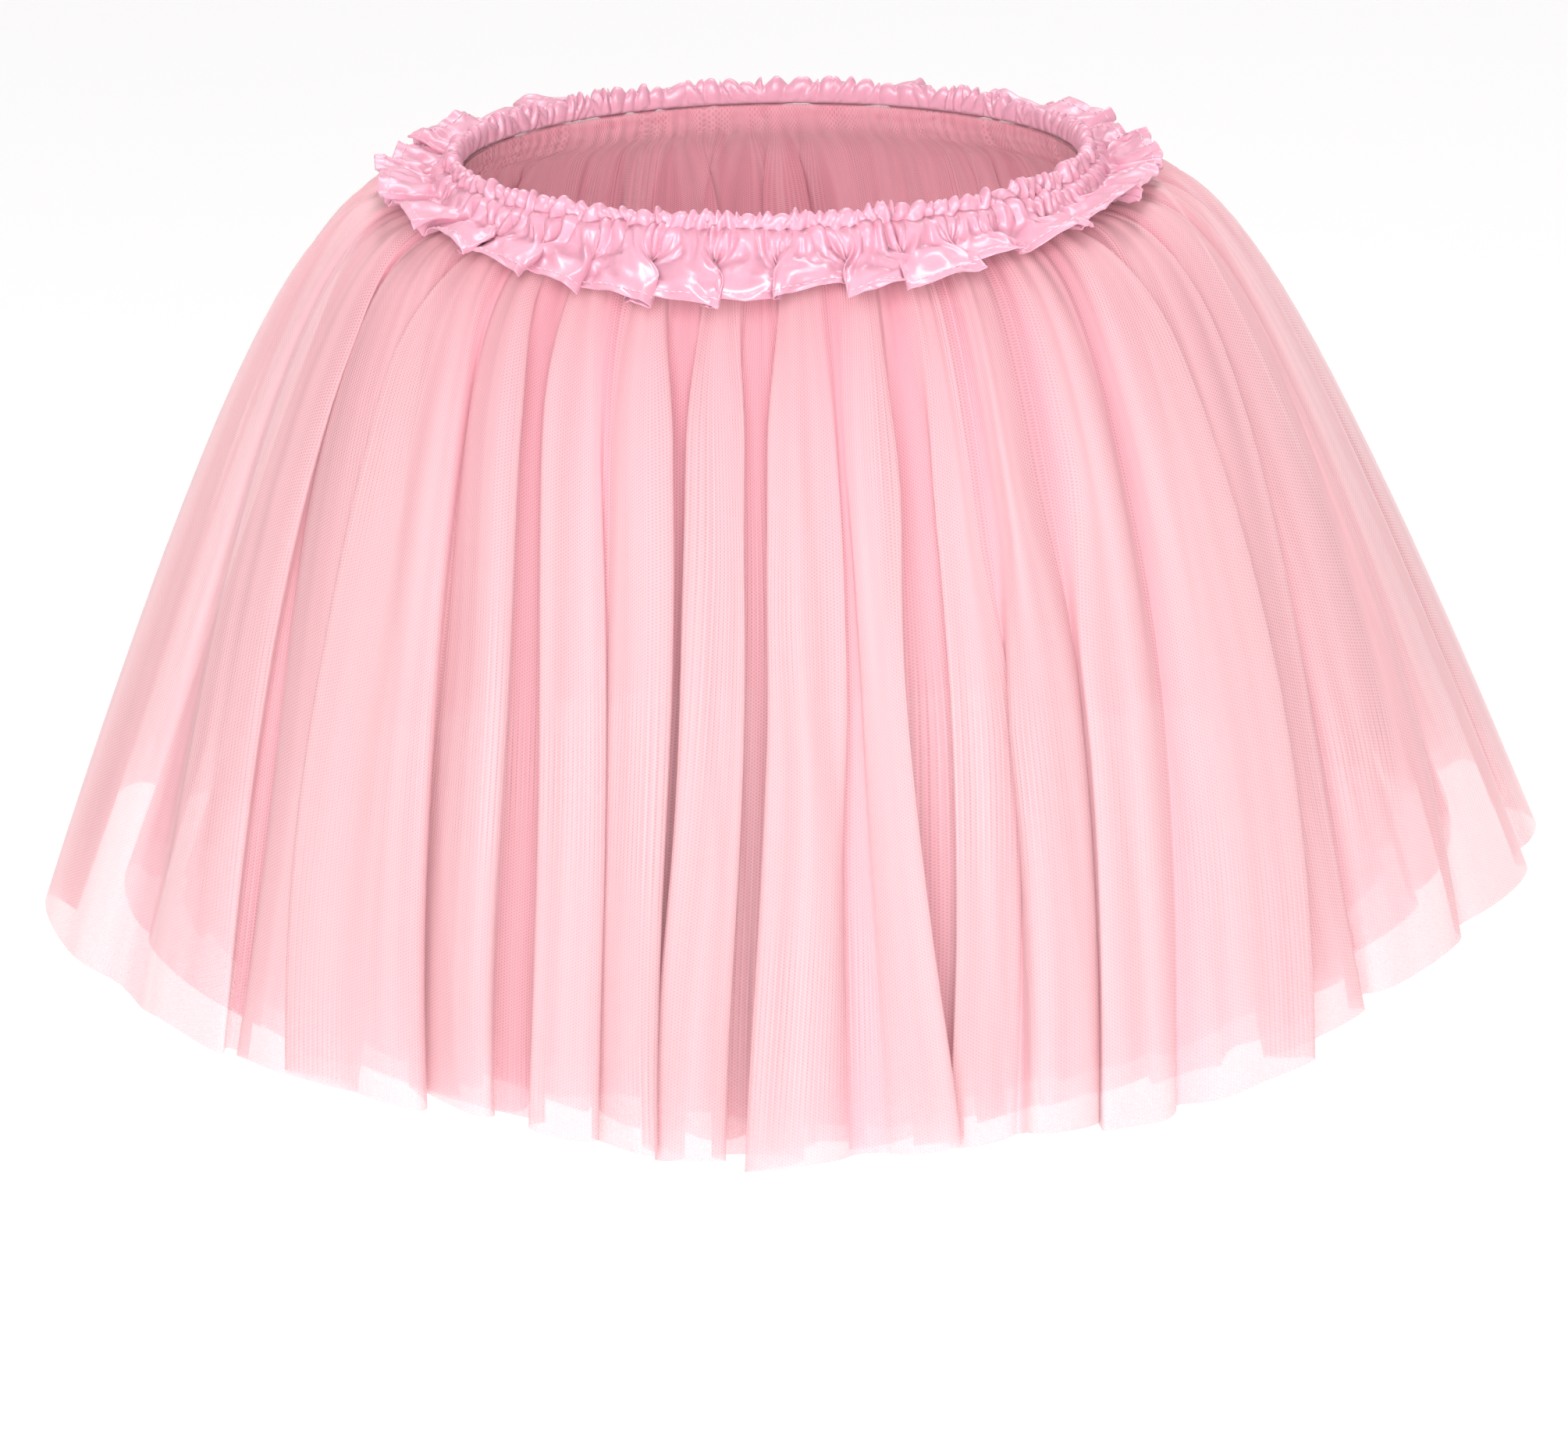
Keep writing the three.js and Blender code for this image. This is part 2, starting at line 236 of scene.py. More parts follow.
def ringObject(name, grid, uvs):  # a sheet closed into a ring, from rows of points down the cloth
    shape = bmesh.new()
    layer = shape.loops.layers.uv.new("cloth")
    verts = [[shape.verts.new(point) for point in row] for row in grid]
    count = len(grid[0])
    for row in range(len(grid) - 1):
        for column in range(count):
            after = (column + 1) % count
            corners = [(row, column), (row + 1, column), (row + 1, after), (row, after)]
            face = shape.faces.new([verts[r][c] for r, c in corners])
            face.smooth = True
            for loop, (r, c) in zip(face.loops, corners):
                across = uvs[r][c][0]
                if after == 0 and c == 0:  # the closing column goes on from the last one
                    across += uvs[r][-1][0] + uvs[r][1][0]
                loop[layer].uv = (across, uvs[r][c][1])
    return meshPiece(name, shape)


def arcUvs(grid, alongs, measured):  # width measured along one row, length down the cloth, both in metres
    row = grid[measured]
    across = [0]
    for column in range(1, len(row)):
        across.append(across[-1] + (row[column] - row[column - 1]).length)
    return [[(x, -along * mm) for x in across] for along in alongs], across[-1]


def pointValues(piece, name, values):
    piece.data.attributes.new(name, "FLOAT", "POINT").data.foreach_set("value", values)


def newMaterial(name):
    material = bpy.data.materials.new(name)
    material.use_nodes = True
    nodes, links = material.node_tree.nodes, material.node_tree.links
    return material, nodes, links, nodes["Principled BSDF"]


def tintBetween(nodes, links, factor, first, second):
    tint = nodes.new("ShaderNodeMix")
    tint.data_type = "RGBA"
    links.new(factor, tint.inputs["Factor"])
    tint.inputs["A"].default_value = first
    tint.inputs["B"].default_value = second
    return tint.outputs["Result"]


def calcNode(nodes, links, operation, *values):  # each value is a number or another node's output
    node = nodes.new("ShaderNodeMath")
    node.operation = operation
    for socket, value in zip(node.inputs, values):
        if isinstance(value, (int, float)):
            socket.default_value = value
        else:
            links.new(value, socket)
    return node.outputs[0]


# Layers of tulle, from the outside in. borrow: how many folds further round the laps are taken from; the
# inner layers are painted with more of the net's deep colour, as painted shade for lying under the outer one
tulle = {
    "tulle_outer": {
        "seat": 1, "long": 301, "longer": 0, "deep": 1.0, "soon": 0.6, "gapFront": 1, "gapSide": 2,
        "turn": 0, "tucks": 20, "borrow": 0, "depth": 0, "cut": 2.3,
    },
    "tulle_middle": {
        "seat": 2, "long": 292, "longer": 7, "deep": 0.65, "soon": 0.8, "gapFront": 20, "gapSide": 23,
        "turn": 6, "tucks": 26, "borrow": 11, "depth": 0.6, "cut": 1.6,
    },
    "tulle_inner": {
        "seat": 3, "long": 286, "longer": 10, "deep": 0.5, "soon": 0.8, "gapFront": 33, "gapSide": 40,
        "turn": 12, "tucks": 26, "borrow": 19, "depth": 1, "cut": 1.4,
    },
}
tulleGrid = {
    "perFold": 36,
    "alongs": [0, 2, 5, 8, 11, 14, 18, 22, 26, 30, 35, 40, 46, 52, 60, 68, 78, 88, 100, 112, 126, 140, 156,
               172, 188, 204, 220, 236, 250, 264, 276, 287, 296, 301],
    "gapReach": 85,  # how soon a layer falls away from the one over it
    "hollowLeast": 0.35,  # a valley's depth beside the ridge's height, and how it grows with returns
    "hollowGrowth": 0.3,
    "wander": 3.6,  # how far a ridge strays from its line, in degrees
    "wanderStart": 3,
    "wanderTurn": 4,
    "sway": 0.3,  # how much an overlap changes on its way down
    "swayTurn": 3.5,
    "lateStart": (20, 110),  # where a fold that isn't closed at the waist starts
    "closing": 70,
    "opening": (120, 280),  # where a fold opens again, and by how much
    "openShare": (0.3, 0.8),
    "overlap": 0.55,  # how far the upper sheet of a closed fold stands off the lower one
    "fullLap": 2,
    "leanShare": 0.6,
    "gathersPerFold": 4,
    "gatherDepth": 0.7,
    "gatherFade": 45,
    "gatherFrom": 6,
    "gatherSway": 2,
    "gatherTurn": 1.7,
    "bodyWaves": 6,
    "bodyTurns": (3, 17),
    "bodySize": 0.7,
    "hemWaves": 8,
    "hemTurns": (9, 60),
    "hemSizes": (0.2, 0.8),
    "hemFrom": 0.6,  # the share of the way down where the hem's own unevenness starts
    "hemJitter": 0.7,
    "gatherShadeFade": (20, 160),
    "ribLeast": 0.1,
    "ribEdge": 0.3,
}
tucking = {
    "wide": (0.1, 0.25),  # as a share of a fold
    "shift": (0.2, 0.6),
    "deep": (0.8, 2.2),
    "start": (0, 120),
    "fade": (180, 300),
    "noFade": 400,  # past the hem
    "drift": (-0.25, 0.25),
    "reach": 1.2,  # past this many folds away a tuck no longer tells
    "growth": 90,
    "fadeLong": 60,
    "slide": 480,
}


def tuckList(count, folds):  # small pleats here and there, each with its own place, size, start and end
    tucks = []
    for _ in range(count):
        tucks.append({
            "at": dice.uniform(0, folds),
            "wide": dice.uniform(*tucking["wide"]),
            "shift": dice.uniform(*tucking["shift"]) * dice.choice((-1, 1)),
            "deep": dice.uniform(*tucking["deep"]),
            "start": dice.uniform(*tucking["start"]),
            "fade": dice.choice((tucking["noFade"],) * 3 + (dice.uniform(*tucking["fade"]),)),
            "drift": dice.uniform(*tucking["drift"]),
        })
    return tucks


def waveList(count, turns, sizes):
    return [(dice.randint(*turns), dice.uniform(0, fullTurn), dice.uniform(*sizes)) for _ in range(count)]


def tuckAt(near, along, down, width):  # how far the tucks near a place draw the cloth aside and in
    aside = inwards = 0
    for apart, tuck in near:
        strength = soft(tuck["start"], tuck["start"] + tucking["growth"], along)
        strength *= 1 - soft(tuck["fade"] - tucking["fadeLong"], tuck["fade"], along)
        offset = (apart - tuck["drift"] * down) / tuck["wide"]
        fall = math.exp(-offset * offset)
        aside += strength * tuck["shift"] * offset * fall * width * tucking["slide"] * tuck["wide"]
        inwards += strength * tuck["deep"] * fall
    return aside, inwards


def tulleLayer(name, facts):
    sizes = tulleGrid
    folds = []
    for index, fold in enumerate(tulleFolds):
        other = tulleFolds[(index + facts["borrow"]) % len(tulleFolds)]  # deeper layers close in other places
        turned = {"waist": fold["waist"] + facts["turn"], "hem": fold["hem"] + facts["turn"]}
        folds.append(dict(fold, lap=other["lap"], under=other["under"], **turned))
    form = formOf(skirtTilt)
    tucks = tuckList(facts["tucks"], len(folds))
    hemWaves = waveList(sizes["hemWaves"], sizes["hemTurns"], sizes["hemSizes"])
    bodyWaves = waveList(sizes["bodyWaves"], sizes["bodyTurns"], (-1, 1))
    phases = [dice.uniform(0, fullTurn) for _ in folds]
    starts = [dice.choice((0, 0, 0, dice.uniform(*sizes["lateStart"]))) for _ in folds]
    ends = [dice.choice((0, 0, 0, dice.uniform(*sizes["openShare"]))) for _ in folds]
    count = len(folds) * sizes["perFold"]
    alongs = [along * facts["long"] / sizes["alongs"][-1] for along in sizes["alongs"]]
    columns = []
    for column in range(count):
        place = column / sizes["perFold"]
        near = []
        for tuck in tucks:
            apart = (place - tuck["at"] + len(folds) / 2) % len(folds) - len(folds) / 2
            if abs(apart) < tucking["reach"]:
                near.append((apart, tuck))
        jitter = 0
        for waves, start, size in hemWaves:
            jitter += size * math.sin(waves * fullTurn * column / count + start)
        columns.append((place, near, jitter, *foldAt(folds, place)))
    grid = []
    for along in alongs:
        down = along / facts["long"]
        grown = facts["deep"] * down ** facts["soon"]
        row = []
        for place, near, jitter, this, after, turn, share, fold in columns:
            index = int(place)
            ahead = (index + 1) % len(folds)
            # Where the cloth lies round the skirt
            sway = 1 + sizes["sway"] * math.sin(phases[index] + sizes["swayTurn"] * down)
            closed = soft(starts[index], starts[index] + sizes["closing"], along)
            closed *= 1 - ends[index] * soft(*sizes["opening"], along)
            lap = this["lap"] * closed * sway
            under = this["under"] * closed * (2 - sway)
            spread = share + lap / fullTurn * math.sin(fullTurn * share)
            spread += under / fullTurn / 2 * math.sin(2 * fullTurn * share)
            waistAngle = mix(this["waist"], after["waist"] + turn, spread)
            hemAngle = mix(this["hem"], after["hem"] + turn, spread)
            angle = mix(waistAngle, hemAngle, down)
            strays = [math.sin(phases[at] * sizes["wanderStart"] + sizes["wanderTurn"] * down)
                      for at in (index, ahead)]
            angle += sizes["wander"] * down * (1 - down / 2) * mix(*strays, soft(0, 1, share))
            # How far it stands out, and how far it falls over
            over = 1 if this["lean"] + after["lean"] >= 0 else -1
            hollow = sizes["hollowLeast"] + sizes["hollowGrowth"] * this["under"]
            out = fold["out"] * grown * mix(1, math.cos(fullTurn * share), hollow)
            slide = out * fold["lean"] * sizes["leanShare"]
            closedShare = min(lap, sizes["fullLap"]) / sizes["fullLap"]
            out += fold["out"] * grown * sizes["overlap"] * over * closedShare * math.sin(fullTurn * share)
            waistWidth = after["waist"] + turn - this["waist"]
            hemWidth = after["hem"] + turn - this["hem"]
            aside, inwards = tuckAt(near, along, down, math.radians(mix(waistWidth, hemWidth, down)))
            slide -= aside
            out -= inwards
            gather = fullTurn * place * sizes["gathersPerFold"]
            gather = math.sin(gather + sizes["gatherSway"] * math.sin(place * sizes["gatherTurn"]))
            gather *= soft(0, sizes["gatherFrom"], along) * math.exp(-along / sizes["gatherFade"])
            out += sizes["gatherDepth"] * gather
            for waves, start, lean in bodyWaves:
                turned = waves * fullTurn * place / len(folds) + start + 2 * lean * down
                out += sizes["bodySize"] * down * math.sin(turned)
            # How far it lies inside the layer over it, and how low it hangs
            shares = sharesAt(angle)
            gap = mix(facts["gapFront"], facts["gapSide"], shares["side"])
            gap *= 1 - math.exp(-along / sizes["gapReach"])
            inset = facts["seat"] * waist["layerStep"] + gap
            reach = along + facts["longer"] * down * shares["front"]  # the front hangs more evenly
            reach += (fold["drop"] + jitter * sizes["hemJitter"]) * soft(sizes["hemFrom"], 1, down)
            row.append(clothPoint(form, angle, reach, out - inset, slide))
        grid.append(row)
    uvs, width = arcUvs(grid, alongs, -1)
    piece = ringObject(name, grid, uvs)
    gatherShade = [facts["depth"] + tulleLook["gatherShade"] * (1 - soft(*sizes["gatherShadeFade"], along)) for along in alongs]
    valleyShades = []
    for column in range(count):
        share = column / sizes["perFold"] % 1
        valleyShades.append(tulleLook["valleyShade"] * soft(*tulleLook["valleyShadeRange"], min(share, 1 - share)))
    # painted shade, from the deep colour: more of it on the inner layers, near the waist and in the valleys
    pointValues(piece, "depth", [min(min(value, 1) + tint, 1) for value in gatherShade for tint in valleyShades])
    places = [Vector((x, y, facts["seat"])) for row in uvs for x, y in row]
    wide, high = tulleLook["streakStretch"]
    # streaks down the net, partly its own thicker and thinner places and partly painted shade of small folds
    # that the sheets don't have
    pointValues(piece, "streak", [noise.noise(Vector((at.x * wide, at.y * high, at.z))) for at in places])
    patches = [soft(0, sizes["ribEdge"], noise.noise(at * tulleLook["patchScale"])) for at in places]
    pointValues(piece, "ribbed", [mix(sizes["ribLeast"], 1, patch) for patch in patches])
    return piece, width


tulleLook = {
    # pale is the net's lit colour and deep its colour in shade; mixing them paints the shade
    "pale": (0.94, 0.55, 0.585, 1),
    "deep": (0.92, 0.37, 0.46, 1),
    "cell": 1.1 * mm,
    "ribSpacing": 1.7 * mm,
    "hexagon": 2 / math.sqrt(3),  # from a cell's width to the distance between its rows
    "threadRange": (0.9, -0.2),  # the sum of the three waves at a hole's edge and on a thread
    "alphaHole": 0.54,
    "alphaThread": 0.72,
    "threadPaler": -0.15,
    "ribStrength": 0.10,
    "streakStrength": 0.14,
    "streakStretch": (150, 5),
    "patchScale": 14,
    "gatherShade": 0.4,  # painted shade: more of the deep colour near the waist, where the gathers crowd together
    "valleyShade": 0.45,  # and painted shade in the valleys, over these shares of a fold
    "valleyShadeRange": (0.15, 0.5),
    "roughness": 0.75,
    "sheen": 0.25,
    "specular": 0.25,
}


def netGroup():  # a hexagonal net and faint ribs, from the cloth's own UV map
    group = bpy.data.node_groups.new("net", "ShaderNodeTree")
    for name in ("cell", "ribSpacing"):
        socket = group.interface.new_socket(name, in_out="INPUT", socket_type="NodeSocketFloat")
        socket.default_value = tulleLook[name]
    for name in ("threads", "ribs"):
        group.interface.new_socket(name, in_out="OUTPUT", socket_type="NodeSocketFloat")
    nodes, links = group.nodes, group.links
    given, made = nodes.new("NodeGroupInput"), nodes.new("NodeGroupOutput")
    uv = nodes.new("ShaderNodeUVMap")
    uv.uv_map = "cloth"

    def calc(operation, *values):
        return calcNode(nodes, links, operation, *values)

    def waveAlong(turn, spacing, factor):  # a wave across the cloth at an angle to its width
        node = nodes.new("ShaderNodeVectorMath")
        node.operation = "DOT_PRODUCT"
        links.new(uv.outputs["UV"], node.inputs[0])
        node.inputs[1].default_value = (math.cos(math.radians(turn)), math.sin(math.radians(turn)), 0)
        steps = calc("DIVIDE", node.outputs["Value"], given.outputs[spacing])
        return calc("COSINE", calc("MULTIPLY", steps, fullTurn * factor))

    waves = [waveAlong(turn, "cell", tulleLook["hexagon"]) for turn in (0, 60, 120)]
    holes = nodes.new("ShaderNodeMapRange")  # 1 on the threads, 0 in the holes
    holes.interpolation_type = "SMOOTHSTEP"
    links.new(calc("ADD", calc("ADD", waves[0], waves[1]), waves[2]), holes.inputs["Value"])
    holes.inputs["From Min"].default_value, holes.inputs["From Max"].default_value = tulleLook["threadRange"]
    links.new(holes.outputs["Result"], made.inputs["threads"])
    links.new(waveAlong(0, "ribSpacing", 1), made.inputs["ribs"])
    return group


def tulleMaterial():
    material, nodes, links, shader = newMaterial("tulle")
    net = nodes.new("ShaderNodeGroup")
    net.node_tree = netGroup()
    for name in ("cell", "ribSpacing"):
        net.inputs[name].default_value = tulleLook[name]
    marks = {}
    for name in ("depth", "streak", "ribbed"):
        node = nodes.new("ShaderNodeAttribute")
        node.attribute_name = name
        marks[name] = node.outputs["Fac"]

    def calc(operation, *values):
        return calcNode(nodes, links, operation, *values)

    threads = net.outputs["threads"]
    alphaSpan = tulleLook["alphaThread"] - tulleLook["alphaHole"]
    alpha = calc("MULTIPLY_ADD", threads, alphaSpan, tulleLook["alphaHole"])
    ribs = calc("MULTIPLY", net.outputs["ribs"], marks["ribbed"])
    alpha = calc("MULTIPLY_ADD", ribs, tulleLook["ribStrength"], alpha)
    # the streaks are partly uneven net and partly painted shade of small folds
    alpha = calc("MULTIPLY_ADD", marks["streak"], tulleLook["streakStrength"], alpha)
    links.new(alpha, shader.inputs["Alpha"])
    # the net's colour goes from pale to deep by its painted shade, with the threads a little paler
    shade = calc("MULTIPLY_ADD", threads, tulleLook["threadPaler"], marks["depth"])
    tint = tintBetween(nodes, links, shade, tulleLook["pale"], tulleLook["deep"])
    links.new(tint, shader.inputs["Base Color"])
    shader.inputs["Roughness"].default_value = tulleLook["roughness"]
    shader.inputs["Sheen Weight"].default_value = tulleLook["sheen"]
    shader.inputs["Specular IOR Level"].default_value = tulleLook["specular"]
    return material


# The elastic draws the satin up into small gathers, which run on from the casing into the frill
gathers = {
    "count": 132,
    "widths": (0.55, 1.5),  # beside one another
    "heights": (0.45, 1.15),
    "fades": (18, 110),  # how far down the frill each one reaches
    "roundness": 0.75,
}
gatherEnds = [0]
for _ in range(gathers["count"]):
    gatherEnds.append(gatherEnds[-1] + dice.uniform(*gathers["widths"]))
gatherEnds = [end / gatherEnds[-1] for end in gatherEnds]
gatherSizes = [dice.uniform(*gathers["heights"]) for _ in range(gathers["count"])]
gatherFades = [dice.uniform(*gathers["fades"]) for _ in range(gathers["count"])]
gatherLeans = [dice.uniform(-1, 1) for _ in range(gathers["count"])]


def gatherAt(angle):  # which gather an angle lies in, and how far up its round back
    place = angle / 360 % 1
    index = min(bisect.bisect_right(gatherEnds, place) - 1, gathers["count"] - 1)
    share = (place - gatherEnds[index]) / (gatherEnds[index + 1] - gatherEnds[index])
    return index, abs(math.sin(math.pi * share)) ** gathers["roundness"]


creasing = {"radius": 100, "strength": 1.6}


def crumple(angle, along, size, seed):  # uneven creasing, from -1 to 1
    turn = math.radians(angle)
    radius = creasing["radius"]
    at = Vector((radius * math.sin(turn), radius * math.cos(turn), along + seed))
    return noise.noise(at / size) * creasing["strength"]


# The satin frill below the elastic. The ranges say how far down each thing starts and is at its full size
frill = {
    "long": 26,
    "cut": 1.1,
    "perWave": 56,
    "alongs": [0, 0.7, 1.4, 2.2, 3.2, 4.4, 5.8, 7.2, 8.8, 10.4, 12, 13.8, 15.6, 17.4, 19.2, 20.8, 22.2, 23.4,
               24.4, 25.2, 25.6, 26],
    "soon": 0.8,
    "leanShare": 0.55,
    "lapShare": 1.4,
    "lapRange": (0.05, 0.6),
    "overlap": 0.5,
    "gatherDepth": 3.5,
    "gatherMiddle": 0.45,
    "gatherRange": (-3, 1),
    "gatherHold": 2,
    "gatherStray": 2.2,  # degrees that a gather strays from straight down
    "strayNoise": (9, 40),  # size and seed
    "strayRange": (-4, 8),
    "rippleDepth": 1.6,
    "rippleTurns": 2,
    "rippleSway": 2.2,
    "rippleTurn": 1.3,
    "rippleSlant": 0.05,
    "rippleRange": (3, 16),
    "creases": [
        {"deep": 2.6, "noise": (5, 3), "range": (0, 8)},
        {"deep": 1.2, "noise": (2.6, 9), "range": (0, 4)},
    ],
    "creaseStretch": 0.3,
    "sag": 2.4,  # how far a fold's upper corner hangs below the rest of the edge
    "lifted": 0.45,  # a ridge stands out more than up, so the edge stays nearly level
    "tuckUp": 4.6,  # the frill starts in the casing and covers its lower half
    "tuckOut": 1.5,
    "tuckIn": -1.2,
    "tuckLong": 7,
    "tuckLeast": 0.85,
    "tuckUneven": 0.3,
    "tuckStart": 1.4,
    "thick": 0.35,
}


def frillPoint(form, place, along, lift=0):
    this, after, turn, share, fold = foldAt(frillWaves, place)
    down = along / frill["long"]
    standing = fold["out"] * down ** frill["soon"]
    lap = this["lap"] * frill["lapShare"] * soft(*frill["lapRange"], down)
    over = 1 if this["lean"] + after["lean"] >= 0 else -1
    across, between = math.cos(fullTurn * share), math.sin(fullTurn * share)
    angle = mix(this["waist"], after["waist"] + turn, share + lap / fullTurn * between)
    cloth = mix(this["waist"], after["waist"] + turn, share)
    out = standing * (1 + across) / 2
    slide = standing * across * fold["lean"] * frill["leanShare"]
    stray = frill["gatherStray"] * crumple(cloth, along, *frill["strayNoise"])
    index, back = gatherAt(cloth + stray * soft(*frill["strayRange"], along))
    fade = math.exp(-max(along - frill["gatherHold"], 0) / gatherFades[index])
    gather = gatherSizes[index] * (back - frill["gatherMiddle"]) * fade * soft(*frill["gatherRange"], along)
    out += frill["gatherDepth"] * gather
    ripple = fullTurn * place * frill["rippleTurns"]
    ripple += frill["rippleSway"] * math.sin(place * frill["rippleTurn"])
    ripple = math.sin(ripple + frill["rippleSlant"] * along)
    out += frill["rippleDepth"] * soft(*frill["rippleRange"], along) * ripple
    for crease in frill["creases"]:
        sharp = 1 - 2 * abs(crumple(cloth, along * frill["creaseStretch"], *crease["noise"]))
        out += crease["deep"] * sharp * soft(*crease["range"], along)
    out += standing * frill["overlap"] * over * between
    reach = along + (fold["drop"] + frill["sag"] * over * between) * down
    point = clothPoint(form, angle, reach, out + lift, slide, frill["lifted"])
    tuck = (1 - soft(0, frill["tuckLong"], along))
    tuck *= frill["tuckLeast"] + frill["tuckUneven"] * gatherLeans[index] * back
    inside = mix(frill["tuckIn"], frill["tuckOut"] * tuck, soft(0, frill["tuckStart"], along))
    point += ringAt(angle)[1] * inside * mm
    point.z += frill["tuckUp"] * tuck * mm
    return point


def satinFrill(form):
    count = len(frillWaves) * frill["perWave"]
    grid = []
    for along in frill["alongs"]:
        grid.append([frillPoint(form, column / frill["perWave"], along) for column in range(count)])
    uvs, width = arcUvs(grid, frill["alongs"], -1)
    piece = ringObject("satin_frill", grid, uvs)
    wall = piece.modifiers.new("wall", "SOLIDIFY")
    wall.thickness = frill["thick"] * mm
    wall.offset = 0
    bpy.context.view_layer.objects.active = piece
    bpy.ops.object.modifier_apply(modifier="wall")
    return piece, width


# The casing: a gathered satin tube round the elastic
casing = {
    "columns": 1400,
    "around": 20,
    "swell": 2.4,
    "swellTop": 0.2,  # as a share of the swelling outside
    "swellInside": 0.6,
    "bulgeMiddle": 0.5,
    "rise": 3.4,
    "slant": 2.2,
    "stray": 0.6,
    "strayNoise": (5, 20),  # size and seed
    "crease": 1.1,
    "creaseNoise": (2.5, 70),
    "columnWidth": 0.9,
    "stepWidth": 1.2,
}


def satinCasing():
    count, around = casing["columns"], casing["around"]
    half, deep = waist["casingHeight"] / 2, waist["casingDepth"] / 2
    shape = bmesh.new()
    layer = shape.loops.layers.uv.new("cloth")
    verts = []
    for step in range(around):
        turn = fullTurn * step / around
        level = half * math.sin(turn)
        outer = max(math.cos(turn), 0) ** 0.5
        top = casing["swellTop"]
        spread = mix(top, 1, outer) if outer > 0 else top + (top + casing["swellInside"]) * math.cos(turn)
        row = []
        for column in range(count):
            angle = 360 * column / count
            slant = gatherLeans[gatherAt(angle)[0]] * casing["slant"] * math.sin(turn)
            stray = casing["stray"] * crumple(angle, level, *casing["strayNoise"])
            index, back = gatherAt(angle + slant + stray)
            place, out, _ = ringAt(angle)
            bulge = gatherSizes[index] * back - casing["bulgeMiddle"]
            reach = -deep + deep * math.cos(turn) + casing["swell"] * bulge * spread
            reach += casing["crease"] * crumple(angle, level, *casing["creaseNoise"]) * outer
            point = place + out * reach
            point.z = level + max(math.sin(turn), 0) * casing["rise"] * bulge
            row.append(shape.verts.new(point * mm))
        verts.append(row)
    for step in range(around):
        for column in range(count):
            corners = ((column, step), (column + 1, step), (column + 1, step + 1), (column, step + 1))
            face = shape.faces.new([verts[up % around][across % count] for across, up in corners])
            face.smooth = True
            for loop, (across, up) in zip(face.loops, corners):
                loop[layer].uv = (across * casing["columnWidth"] * mm, up * casing["stepWidth"] * mm)
    bmesh.ops.recalc_face_normals(shape, faces=shape.faces)
    return meshPiece("satin_casing", shape)


satinLook = {
    "pale": (0.86, 0.46, 0.57, 1),
    "deep": (0.75, 0.32, 0.44, 1),
    "roughness": 0.3,
    "roughnessSpread": 0.05,
    "sheen": 0.1,
    "specular": 0.65,
    "anisotropic": 0.5,
    "weave": {"scale": (900, 5200, 1), "bump": 0.12, "deep": 0.05},
    "wrinkles": {"scale": (170, 60, 1), "bump": 0.3, "deep": 1.0},
}


def satinMaterial():
    material, nodes, links, shader = newMaterial("satin")
    uv = nodes.new("ShaderNodeUVMap")
    uv.uv_map = "cloth"
    patterns, normal = {}, None
    for name in ("weave", "wrinkles"):
        facts = satinLook[name]
        mapping = nodes.new("ShaderNodeMapping")
        mapping.inputs["Scale"].default_value = facts["scale"]
        links.new(uv.outputs["UV"], mapping.inputs["Vector"])
        pattern = nodes.new("ShaderNodeTexNoise")
        pattern.inputs["Scale"].default_value = 1
        links.new(mapping.outputs["Vector"], pattern.inputs["Vector"])
        patterns[name] = pattern.outputs["Fac"]
        bump = nodes.new("ShaderNodeBump")
        bump.inputs["Strength"].default_value = facts["bump"]
        bump.inputs["Distance"].default_value = facts["deep"] * mm
        links.new(patterns[name], bump.inputs["Height"])
        if normal:
            links.new(normal, bump.inputs["Normal"])
        normal = bump.outputs["Normal"]
    links.new(normal, shader.inputs["Normal"])
    tint = tintBetween(nodes, links, patterns["weave"], satinLook["deep"], satinLook["pale"])
    links.new(tint, shader.inputs["Base Color"])
    gloss = nodes.new("ShaderNodeMapRange")
    links.new(patterns["weave"], gloss.inputs["Value"])
    gloss.inputs["To Min"].default_value = satinLook["roughness"] - satinLook["roughnessSpread"]
    gloss.inputs["To Max"].default_value = satinLook["roughness"] + satinLook["roughnessSpread"]
    links.new(gloss.outputs["Result"], shader.inputs["Roughness"])
    shader.inputs["Sheen Weight"].default_value = satinLook["sheen"]
    shader.inputs["Specular IOR Level"].default_value = satinLook["specular"]
    shader.inputs["Anisotropic"].default_value = satinLook["anisotropic"]
    return material


# The frill's turned hem is held by one row of stitches
stitch = {
    "above": 3.0,
    "long": 2.2,
    "pitch": 3.0,
    "thick": 0.5,
    "lift": 0.6,
    "taper": (0.35, 1, 0.35),
    "marks": 4000,  # places at which the row's path is measured
}
threadLook = {
    "deep": (0.92, 0.56, 0.66, 1),
    "pale": (0.98, 0.78, 0.84, 1),
    "twist": 1500,
    "roughness": 0.5,
}


